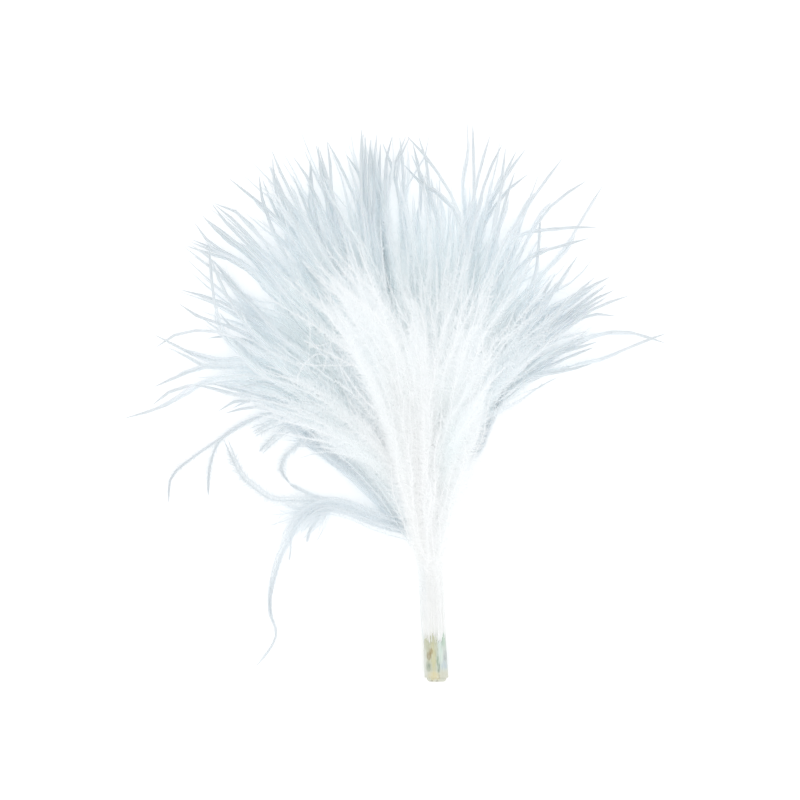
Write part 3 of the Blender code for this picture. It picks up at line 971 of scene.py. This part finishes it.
def growWisps():
    dice = np.random.default_rng(wisps["seed"])
    bundle = Bundle("wispBarbs")
    look = wisps["look"]
    for places in wispPlaces:
        line, angle = wispRoute(places, dice)
        rank = min(max(-angle / wisps["rankOver"], -0.95), 0.95)
        line = fromStem(line, rank, dice.uniform(*wisps["level"]), course["lowest"], dice)
        naked = 1 - dice.uniform(*wisps["nakedSpread"]) * wisps["naked"] / lengthAlong(line)[-1]
        tone = wisps["tone"] + dice.normal(0, wisps["toneSpread"])
        growBarb(bundle, line, {**look, "fluffTo": naked}, tone, dice)
        tipFrom = naked - wisps["overlap"]
        growBarbules(bundle, line, {**look, **wisps["fringe"], "fluffFrom": tipFrom}, tone, dice)
        for _ in range(wisps["companions"]):
            beside = gathered(line, wisps["apart"], dice)
            beside = stretch(beside, wisps["from"], dice.uniform(*wisps["to"]))
            growBarb(bundle, beside, {**look, **wisps["beside"]}, tone, dice)
    makePiece(bundle)


growWisps()
print("wisps grown")


# barbs placed one by one: (x, y, z) in mm from the cut end

# the tones and shades set here and in the strands below are painted light and shade
bright = {  # cottony barbs
    "barbule": 2.6 * mm, "shaft": 0.13 * mm, "tip": 0.08 * mm, "wander": 1.6 * mm, "curl": 0.5 * mm,
    "stray": 22, "rootShare": 0.3, "fullAt": 0.4, "floss": 0.8,
}
bare = {  # long stout barbs with a narrow fringe
    "tone": 0.15, "barbule": 2.3 * mm, "spacing": 0.14 * mm, "sweep": 36, "shaft": 0.34 * mm,
    "tip": 0.32 * mm,
}
fuzzy = {"shaft": 0.15 * mm, "tip": 0.12 * mm, "stray": 16, "tone": 0.4, "barbule": 2.6 * mm}
hair = {
    "shaft": 0.1 * mm, "tip": 0.08 * mm, "spacing": 0.4 * mm, "roll": 40, "fluffFrom": 0, "rootShare": 1,
    "fullAt": 1,
}
loose = {
    "seed": 7, "flatter": 0.6, "level": (0.6, 1), "lowest": 0.4,
    "usual": {
        "barbs": 1, "apart": 0.2 * mm, "shortest": 1, "longest": 1, "wander": 0.3 * mm, "curl": 0.1 * mm,
        # painted shade: loose barbs are toned grey unless given otherwise
        "tone": 0.25, "toneSpread": 0.06, "shade": (0.84, 0.98), "fan": 0, "sweep": 34, "roll": 35,
        "shaft": 0.22 * mm, "tip": 0.17 * mm, "spacing": 0.24 * mm, "barbule": 1.5 * mm,
        "fluffFrom": 0.03, "fluffTo": 0.97, "rootShare": 0.5, "fullAt": 0.2, "taperAt": 0.85,
    },
    "spray": {  # of hairs where the drooping lock bends: place, directions in degrees, reach in mm
        "hairs": 60, "from": ((-23, 41.8, 2.4), (-32, 40, 2.1)), "turns": (160, 248), "reach": (5, 10),
        "bend": 0.08, "sink": 0.6, "tone": 0.3, "toneSpread": 0.06,
        "look": {
            **hair, "barbule": 1.4 * mm, "sweep": 26, "fluffTo": 0.95, "taperAt": 0.5, "shade": (0.8, 0.9),
        },
    },
    # painted light on the hairs over the hollow
    "hairTone": 0.98,
    "hair": {**hair, "barbule": 0.6 * mm, "sweep": 50, "fluffTo": 1, "taperAt": 0.9, "shade": (0.3, 0.6)},
}
strands = (
    {  # below the left side of the fan, with painted shade
        "line": (
            (-3.2, 33.2, 5), (-8.9, 37.5, 4.2), (-13.9, 42.9, 3.4), (-19.9, 48.9, 3), (-25.3, 53.1, 2.6),
            (-30.9, 57.7, 2.4), (-34.3, 61.3, 2.4), (-38.9, 65.9, 2.4), (-42, 69, 2.4),
        ),
        "barbs": 24, "apart": 0.8 * mm, "shortest": 0.55, "barbule": 2 * mm, "sweep": 38, "tone": 0.1,
        "shade": (0.8, 0.87), "wander": 0.8 * mm,
    },
    {  # above those, with lighter painted shade
        "line": (
            (-3.6, 33, 6), (-8.4, 41, 6), (-14, 48.6, 5.5), (-20, 55, 5), (-27, 61, 4.5), (-35, 68, 4),
        ),
        "barbs": 22, "apart": 1.4 * mm, "shortest": 0.6, "barbule": 2.2 * mm, "sweep": 40,
        "shade": (0.56, 0.8), "wander": 1.2 * mm,
    },
    {  # the lock that droops at the left
        "line": (
            (-4, 35.6, 5), (-8.7, 36.3, 4.2), (-12.2, 37.1, 3.6), (-16.9, 38.8, 3), (-21.6, 40.6, 2.6),
            (-26, 41.2, 2.3), (-29.5, 40.2, 2.2), (-33, 37.4, 2), (-35.6, 33, 1.9), (-37.4, 28.8, 1.8),
            (-38.8, 24, 1.6), (-39.7, 19.3, 1.6),
        ),
        **fuzzy, "barbs": 20, "apart": 1 * mm, "fan": -0.6, "shortest": 0.4, "longest": 0.8, "tone": 0.3,
        "wander": 0.8 * mm, "spacing": 0.36 * mm, "shaft": 0.16 * mm,
        "shadeFrom": (0, 0.3, 0.5, 1), "shade": (0.84, 0.82, 0.8, 0.88),
    },
    {  # its plainer barbs on top
        "line": (
            (-4.4, 35.8, 6), (-8.7, 36.6, 5.4), (-12.2, 37.6, 4.8), (-16.9, 39.4, 4.2), (-21.6, 41.2, 3.8),
            (-26, 41.8, 3.4), (-29.5, 40.6, 3), (-32.6, 37.4, 2.6), (-35, 33, 2.2),
        ),
        "barbs": 9, "apart": 0.8 * mm, "shortest": 0.7, "barbule": 1.7 * mm, "tone": 0.1,
        "shade": (0.86, 0.84), "wander": 0.6 * mm, "shaft": 0.2 * mm, "tip": 0.12 * mm, "stray": 14,
    },
    {  # the branch that hangs from its end
        "line": (
            (-27, 42, 2.2), (-30.2, 40.2, 2.1), (-32.8, 36.9, 2), (-34.7, 33.2, 1.9), (-36.5, 29.8, 1.8),
            (-38.1, 25, 1.7), (-39.2, 20, 1.6), (-39.1, 15.5, 1.6), (-37.8, 10.4, 1.6), (-42.6, 3.5, 1.4),
        ),
        "barbs": 5, "apart": 0.5 * mm, "fan": -1.6, "shortest": 0.7, "barbule": 2.3 * mm, "sweep": 38,
        "stray": 14, "shade": (0.8, 0.93), "taperAt": 0.5, "shaft": 0.16 * mm, "tip": 0.26 * mm,
        "spacing": 0.34 * mm,
    },
    {  # side branches where it bends
        "line": ((-27.3, 40.7, 2), (-28.2, 38.3, 2), (-30.1, 35.7, 1.8), (-30.8, 32.7, 1.6)),
        "barbs": 2, "barbule": 1.8 * mm, "shade": (0.8, 0.95),
    },
    {"line": ((-34.1, 34.3, 2), (-34.1, 31.3, 1.8), (-34.5, 28.4, 1.6)), "barbule": 1.2 * mm},
    {
        "line": ((-25.4, 42.4, 2.2), (-30, 43.8, 2), (-34.8, 46.2, 1.8)), "barbs": 3, "apart": 0.35 * mm,
        "barbule": 1.8 * mm, "shaft": 0.14 * mm, "tip": 0.1 * mm,
    },
    {  # from the bend back up
        "line": (
            (-23, 42.6, 2.4), (-31.5, 42.7, 2.4), (-38.5, 42.8, 2.6), (-42.4, 45.4, 2.8), (-46.4, 49, 2.8),
            (-50, 57, 2.6),
        ),
        **fuzzy, "barbs": 4, "apart": 0.45 * mm, "sweep": 46, "shaft": 0.14 * mm,
    },
    {  # two that hook down at the left
        "line": (
            (-20, 62, 1.8), (-30, 65, 1.8), (-40.5, 63, 2.2), (-50.2, 57.7, 2.2), (-58.4, 52.1, 2),
            (-62.7, 48, 1.7), (-63.2, 42, 1.4),
        ),
        **bare,
    },
    {
        "line": (
            (-34, 64.4, 1.8), (-44, 61.5, 2), (-50.6, 57.2, 2), (-53.3, 50.6, 1.7), (-53.7, 43.6, 1.4),
        ),
        **bare,
    },
    {  # a curl under the fan
        "line": (
            (-19, 58, 1.8), (-28, 60, 1.8), (-32.5, 55.9, 2), (-35.7, 53, 2), (-36.7, 49.6, 1.8),
            (-34.4, 46.4, 1.6),
        ),
        **fuzzy, "barbs": 3, "apart": 0.35 * mm, "tone": 0.3, "barbule": 2.4 * mm, "sweep": 44,
        "spacing": 0.2 * mm,
    },
    {  # two short ones beside it
        "line": ((-30, 63, 2), (-36.2, 61.8, 2), (-40.3, 60.2, 2), (-43.5, 58.5, 1.8)),
        **fuzzy, "barbs": 4, "apart": 0.5 * mm, "sweep": 42, "stray": 18,
    },
    {
        "line": ((-29, 61, 2), (-34.8, 59.3, 2), (-38.5, 56.6, 2), (-41.6, 53.7, 1.8)),
        **fuzzy, "barbs": 4, "apart": 0.5 * mm, "sweep": 42, "stray": 18,
    },
    {  # up the middle of the front
        "ranks": (-0.5, 0.6),
        "line": (
            (-1.6, 24, 7.4), (-2, 36, 10), (-1.5, 48, 13.5), (0, 60, 16.5), (1.5, 72, 19), (3, 86, 19),
        ),
        **bright, "barbs": 24, "apart": 2.2 * mm, "shortest": 0.4, "sweep": 42, "tone": 0.95,
        "shade": (0, 0.7), "fan": 1.4,
    },
    {  # to its left
        "ranks": (-0.6, 0.2),
        "line": (
            (-2.5, 28, 7.5), (-3, 45, 12.5), (-3.2, 60, 16.5), (-2.8, 72, 19), (-4.5, 82, 20),
            (-8.2, 93, 19),
        ),
        **bright, "barbs": 20, "apart": 1.5 * mm, "shortest": 0.5, "sweep": 42, "tone": 0.95,
        "shade": (0, 0.7), "fan": 1.4,
    },
    {  # to its right
        "ranks": (0, 0.9),
        "line": ((0.5, 26, 7.2), (1, 36, 10), (4.5, 52, 13.5), (8, 70, 17), (6.5, 81, 19), (7.2, 94, 18)),
        **bright, "barbs": 22, "apart": 1.8 * mm, "shortest": 0.5, "sweep": 50, "tone": 0.8,
        "shade": (0.1, 0.76), "fan": 1.4,
    },
    {  # barbs low in the hollow, with painted shade
        "ranks": (-0.98, -0.5),
        "line": ((-4, 34, 6), (-8, 48, 8), (-14, 62, 9), (-21, 73, 9.5), (-31, 85, 8.5)),
        "barbs": 22, "apart": 2.3 * mm, "shortest": 0.6, "barbule": 2.4 * mm, "sweep": 46, "tone": 0.2,
        "shade": (0.66, 0.83), "wander": 1.4 * mm, "curl": 0.4 * mm, "stray": 16, "fan": 1,
        "spacing": 0.28 * mm,
    },
    {  # the front tuft's left edge, above the hollow
        "ranks": (-0.95, 0),
        "line": (
            (-3.6, 28, 7), (-5.4, 36.2, 9.5), (-6.4, 47.5, 12.5), (-7, 56.4, 15), (-7.8, 63.4, 17),
            (-9.6, 72.9, 19), (-12.4, 78.8, 19.5), (-16.9, 84.4, 19.5), (-23, 89.4, 18.5), (-29, 94.4, 17),
            (-34.6, 100.2, 15.5),
        ),
        **bright, "barbs": 42, "apart": 2 * mm, "shortest": 0.45, "sweep": 42, "tone": 0.92,
        "shade": (0, 0.66), "fan": 1.5,
    },
    {  # outside it, with less painted light
        "ranks": (-0.9, 0),
        "line": (
            (-3.4, 30, 7), (-5.6, 45, 11), (-9.6, 62, 15), (-14.6, 77, 18), (-21, 90, 19), (-28, 100, 17),
        ),
        **bright, "barbs": 30, "apart": 2.2 * mm, "shortest": 0.7, "sweep": 50, "tone": 0.62,
        "shade": (0.1, 0.78), "fan": 2,
    },
    {  # barbs along the fan's lower right edge, with painted shade
        "line": (
            (0.2, 31, 6.8), (1.1, 36.4, 7.8), (2.3, 41, 8.6), (3.9, 46.2, 9), (6.1, 50.3, 8.8),
            (9.8, 55, 8), (11.9, 60.8, 6.6), (14.6, 66, 5.4), (16.4, 71.5, 4.6), (21.6, 76.6, 3.8),
            (28, 81, 3),
        ),
        "barbs": 24, "apart": 0.45 * mm, "shortest": 0.5, "sweep": 30, "tone": 0,
        "shadeFrom": (0, 0.3, 1), "shade": (0.91, 0.85, 0.89), "wander": 0.4 * mm, "spacing": 0.2 * mm,
    },
    {  # barbs across the left side, with painted light
        "ranks": (-0.95, -0.5),
        "line": ((-4.5, 36, 8), (-8.9, 49.8, 10.5), (-15.3, 56.9, 11.5), (-21.2, 62.3, 12), (-29, 67, 11)),
        **bright, "barbs": 9, "apart": 1.2 * mm, "shortest": 0.7, "barbule": 2.4 * mm, "sweep": 50,
        "tone": 0.9, "shade": (0.1, 0.8), "wander": 2 * mm, "curl": 0.4 * mm, "stray": 20,
    },
    {  # above those
        "ranks": (-0.95, -0.4),
        "line": ((-5, 38, 9), (-11.7, 56, 11.5), (-17.6, 64.2, 12.5), (-21, 70, 12)),
        **bright, "barbs": 8, "apart": 1.1 * mm, "shortest": 0.7, "barbule": 2.4 * mm, "sweep": 50,
        "tone": 0.9, "shade": (0.1, 0.8), "wander": 2 * mm, "curl": 0.4 * mm, "stray": 20,
    },
)
crossing = (  # hairs over the hollow
    ((-32.6, 74.8, 14), (-27, 74.3, 15), (-21, 74.4, 15.5), (-16, 74, 16)),
    ((-30.3, 87, 14), (-29.6, 82, 14.5), (-29.9, 77.4, 14)),
    ((-26.6, 73, 14.5), (-25.6, 77, 15), (-24.7, 79.8, 15)),
    ((-24.9, 80, 15), (-24.3, 77, 15), (-23.2, 73.2, 14.5)),
    ((-33, 70, 13), (-31.5, 74, 14), (-28, 77, 14.5), (-25, 76, 14.5)),
    ((-31, 80, 14), (-27.5, 79, 14.8), (-23, 80.5, 15.5)),
    ((-21, 70, 15), (-22.5, 74, 15.5), (-21, 78, 16), (-18.5, 77.5, 17)),
)


def placed(points):
    return np.array([cutEnd + point for point in throughPoints([Vector(point) * mm for point in points])])


def growStrand(bundle, strand, dice):
    route = placed(strand["line"])
    for number in range(strand["barbs"]):
        end = 1.0 if number == 0 else dice.uniform(strand["shortest"], strand["longest"])
        line = stretch(route, 0, end)
        ahead, side, lift = frameAlong(line)
        widen = (1 + strand["fan"] * np.linspace(-0.5, 0.5, len(line)))[:, None]
        across, above = dice.normal(0, strand["apart"]), dice.normal(0, loose["flatter"] * strand["apart"])
        line = line + (side * across + lift * above) * widen
        line = wavy(line, strand["wander"], strand["curl"], dice) if number else line
        if "ranks" in strand:
            rank, level = dice.uniform(*strand["ranks"]), dice.uniform(*loose["level"])
            line = fromStem(line, rank, level, loose["lowest"], dice)
        growBarb(bundle, line, strand, strand["tone"] + dice.normal(0, strand["toneSpread"]), dice)


def growSpray(bundle, spray, dice):
    first, last = (Vector(point) for point in spray["from"])
    for number in range(spray["hairs"]):
        share = (number + dice.random()) / spray["hairs"]
        start = first.lerp(last, dice.random())
        turn = math.radians(spray["turns"][0] + (spray["turns"][1] - spray["turns"][0]) * share)
        reach = dice.uniform(*spray["reach"])
        ahead = Vector((math.cos(turn), math.sin(turn), 0))
        bend = Vector((-ahead.y, ahead.x, 0)) * dice.normal(0, spray["bend"]) * reach
        end = start + ahead * reach - Vector((0, 0, spray["sink"]))
        line = placed([start, start + ahead * reach / 2 + bend, end])
        growBarb(bundle, line, spray["look"], spray["tone"] + dice.normal(0, spray["toneSpread"]), dice)


def growLoose():
    dice = np.random.default_rng(loose["seed"])
    bundle = Bundle("looseBarbs")
    for own in strands:
        growStrand(bundle, {**loose["usual"], **own}, dice)
    growSpray(bundle, loose["spray"], dice)
    for points in crossing:
        growBarb(bundle, placed(points), loose["hair"], loose["hairTone"], dice)
    makePiece(bundle)


growLoose()
print("loose barbs grown")


# stage, light and camera

view = {
    "centre": Vector((0.83, 0.64, 6.0)) * mm,
    "field": 188 * mm,  # width of the picture at the feather
    "distance": 1.5,
    "sensor": 36, "sees": 20,
}
studio = {
    "sky": (0.967, 0.98, 0.997, 1), "skyStrength": 0.99,
    "softbox": (0.15, -0.3, 1.2), "softboxSize": 0.9, "softboxPower": 2,
    "paper": (0.85, 0.85, 0.85, 1), "paperGlow": 0.24, "paperSize": 6,
    "paperRoughness": 0.9, "paperSpecular": 0.2,
    "bounces": 64,  # light goes deep into white down
}


def makeCamera():
    data = bpy.data.cameras.new("camera")
    data.sensor_width = view["sensor"]
    data.lens = view["sensor"] * view["distance"] / view["field"]
    data.clip_end = view["sees"]
    camera = bpy.data.objects.new("camera", data)
    camera.location = view["centre"] + Vector((0, 0, view["distance"]))
    bpy.context.scene.collection.objects.link(camera)
    bpy.context.scene.camera = camera


def makeFloor():
    bpy.ops.mesh.primitive_plane_add(size=studio["paperSize"], location=(0, 0, featherLow.z))
    floor = bpy.context.object
    floor.name = "floor"
    paper = Recipe("paper", studio["paperRoughness"], studio["paperSpecular"])
    paper.paint("Base Color", studio["paper"])
    paper.paint("Emission Color", (1, 1, 1, 1))
    paper.paint("Emission Strength", studio["paperGlow"])
    floor.data.materials.append(paper.material)


def makeLight():
    scene = bpy.context.scene
    world = bpy.data.worlds.new("studio")
    scene.world = world
    world.use_nodes = True
    sky = world.node_tree.nodes["Background"].inputs
    sky["Color"].default_value = studio["sky"]
    sky["Strength"].default_value = studio["skyStrength"]
    data = bpy.data.lights.new("softbox", "AREA")
    data.energy = studio["softboxPower"]
    data.size = studio["softboxSize"]
    box = bpy.data.objects.new("softbox", data)
    box.location = studio["softbox"]
    box.rotation_euler = (-box.location).to_track_quat("-Z", "Y").to_euler()
    scene.collection.objects.link(box)
    scene.view_settings.view_transform = "Standard"
    for kind in ("max_bounces", "diffuse_bounces", "transmission_bounces"):
        setattr(scene.cycles, kind, studio["bounces"])


makeCamera()
makeFloor()
makeLight()
print("stage, light and camera in place")
